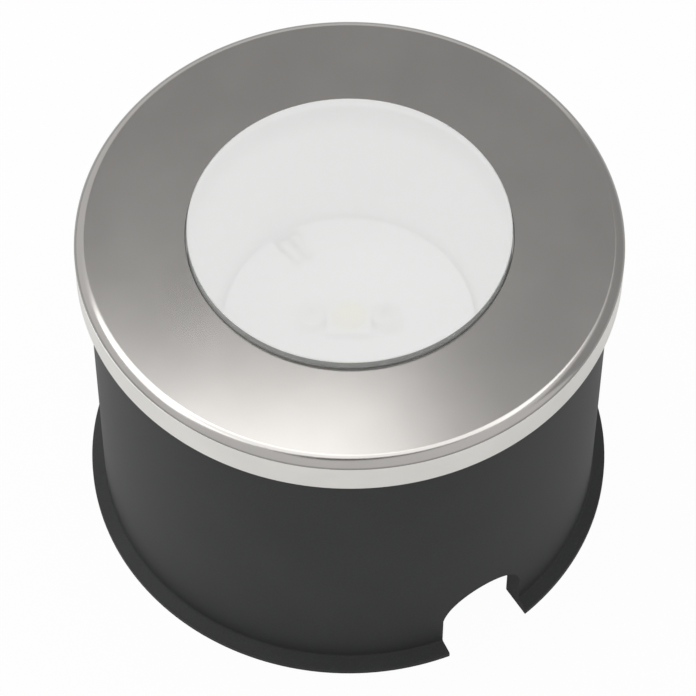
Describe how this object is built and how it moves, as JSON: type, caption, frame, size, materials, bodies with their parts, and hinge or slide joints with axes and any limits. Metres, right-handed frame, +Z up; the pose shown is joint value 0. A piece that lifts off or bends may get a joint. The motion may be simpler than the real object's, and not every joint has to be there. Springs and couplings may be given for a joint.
{
  "type": "in-ground well light",
  "caption": "Round recessed ground light: stainless screw cap and glass on a finned housing that lifts out of a black mounting sleeve with a cable notch.",
  "frame": {"origin": "on the light's axis, at the level of the sleeve's foot", "axes": "+Z up along the axis to the glass; the cable notch faces -Y"},
  "size_m": [0.0606, 0.0603, 0.0448],
  "materials": {
    "cap_stainless": "fine turned stainless steel",
    "rim_stainless": "satin stainless steel",
    "sleeve_plastic": "moulded black plastic",
    "lens_glass": "clear toughened glass",
    "clear_silicone": "translucent silicone",
    "black_rubber": "black rubber",
    "reflector_white": "white moulded plastic",
    "board_white": "white coated aluminium board",
    "pad_grey": "grey gap pad",
    "package_white": "white emitter package",
    "phosphor_yellow": "yellow phosphor",
    "screw_steel": "stainless screws",
    "lead_insulation": "pale silicone insulation",
    "housing_aluminium": "turned aluminium",
    "pot_nylon": "black nylon",
    "board_green": "green circuit board",
    "spacer_brass": "brass",
    "ferrite_grey": "ferrite",
    "capacitor_sleeve": "shrink sleeve",
    "chip_black": "epoxy package",
    "terminal_grey": "grey plastic",
    "gland_nylon": "black nylon"
  },
  "bodies": {
    "sleeve": {"mounting_sleeve": "sleeve_plastic"},
    "light": {"rim_ring": "rim_stainless", "glass_lens": "lens_glass", "seat_gasket": "clear_silicone", "rim_gasket": "black_rubber", "grip_rings": "black_rubber", "pot_gasket": "black_rubber", "gland_seal": "black_rubber", "gland_washer": "black_rubber", "reflector_cup": "reflector_white", "led_board": "board_white", "thermal_pad": "pad_grey", "led_package": "package_white", "led_phosphor": "phosphor_yellow", "led_screws": "screw_steel", "driver_screws": "screw_steel", "pot_screws": "screw_steel", "lead_positive": "lead_insulation", "lead_negative": "lead_insulation", "light_housing": "housing_aluminium", "driver_pot": "pot_nylon", "driver_board": "board_green", "board_spacers": "spacer_brass", "inductor": "ferrite_grey", "capacitor": "capacitor_sleeve", "rectifier": "chip_black", "driver_chip": "chip_black", "terminal_block": "terminal_grey", "gland_body": "gland_nylon", "gland_nut": "gland_nylon"},
    "slip_ring": {"cap_gasket": "clear_silicone"},
    "cap": {"bezel_cap": "cap_stainless"}
  },
  "joints": [
    {"name": "light_lift", "type": "slide", "parent": "sleeve", "child": "light", "axis": [0, 0, 1], "range_m": [0, 0.045]},
    {"name": "cap_rise", "type": "slide", "parent": "light", "child": "slip_ring", "axis": [0, 0, 1], "range_m": [0, 0.0045]},
    {"name": "cap_turn", "type": "hinge", "parent": "slip_ring", "child": "cap", "pos_m": [0, 0, 0.0429], "axis": [0, 0, 1], "range_deg": [0, 1080]}
  ],
  "couplings": [
    {"joint": "cap_rise", "follows": "cap_turn", "m_per_rad": 0.00023873}
  ]
}
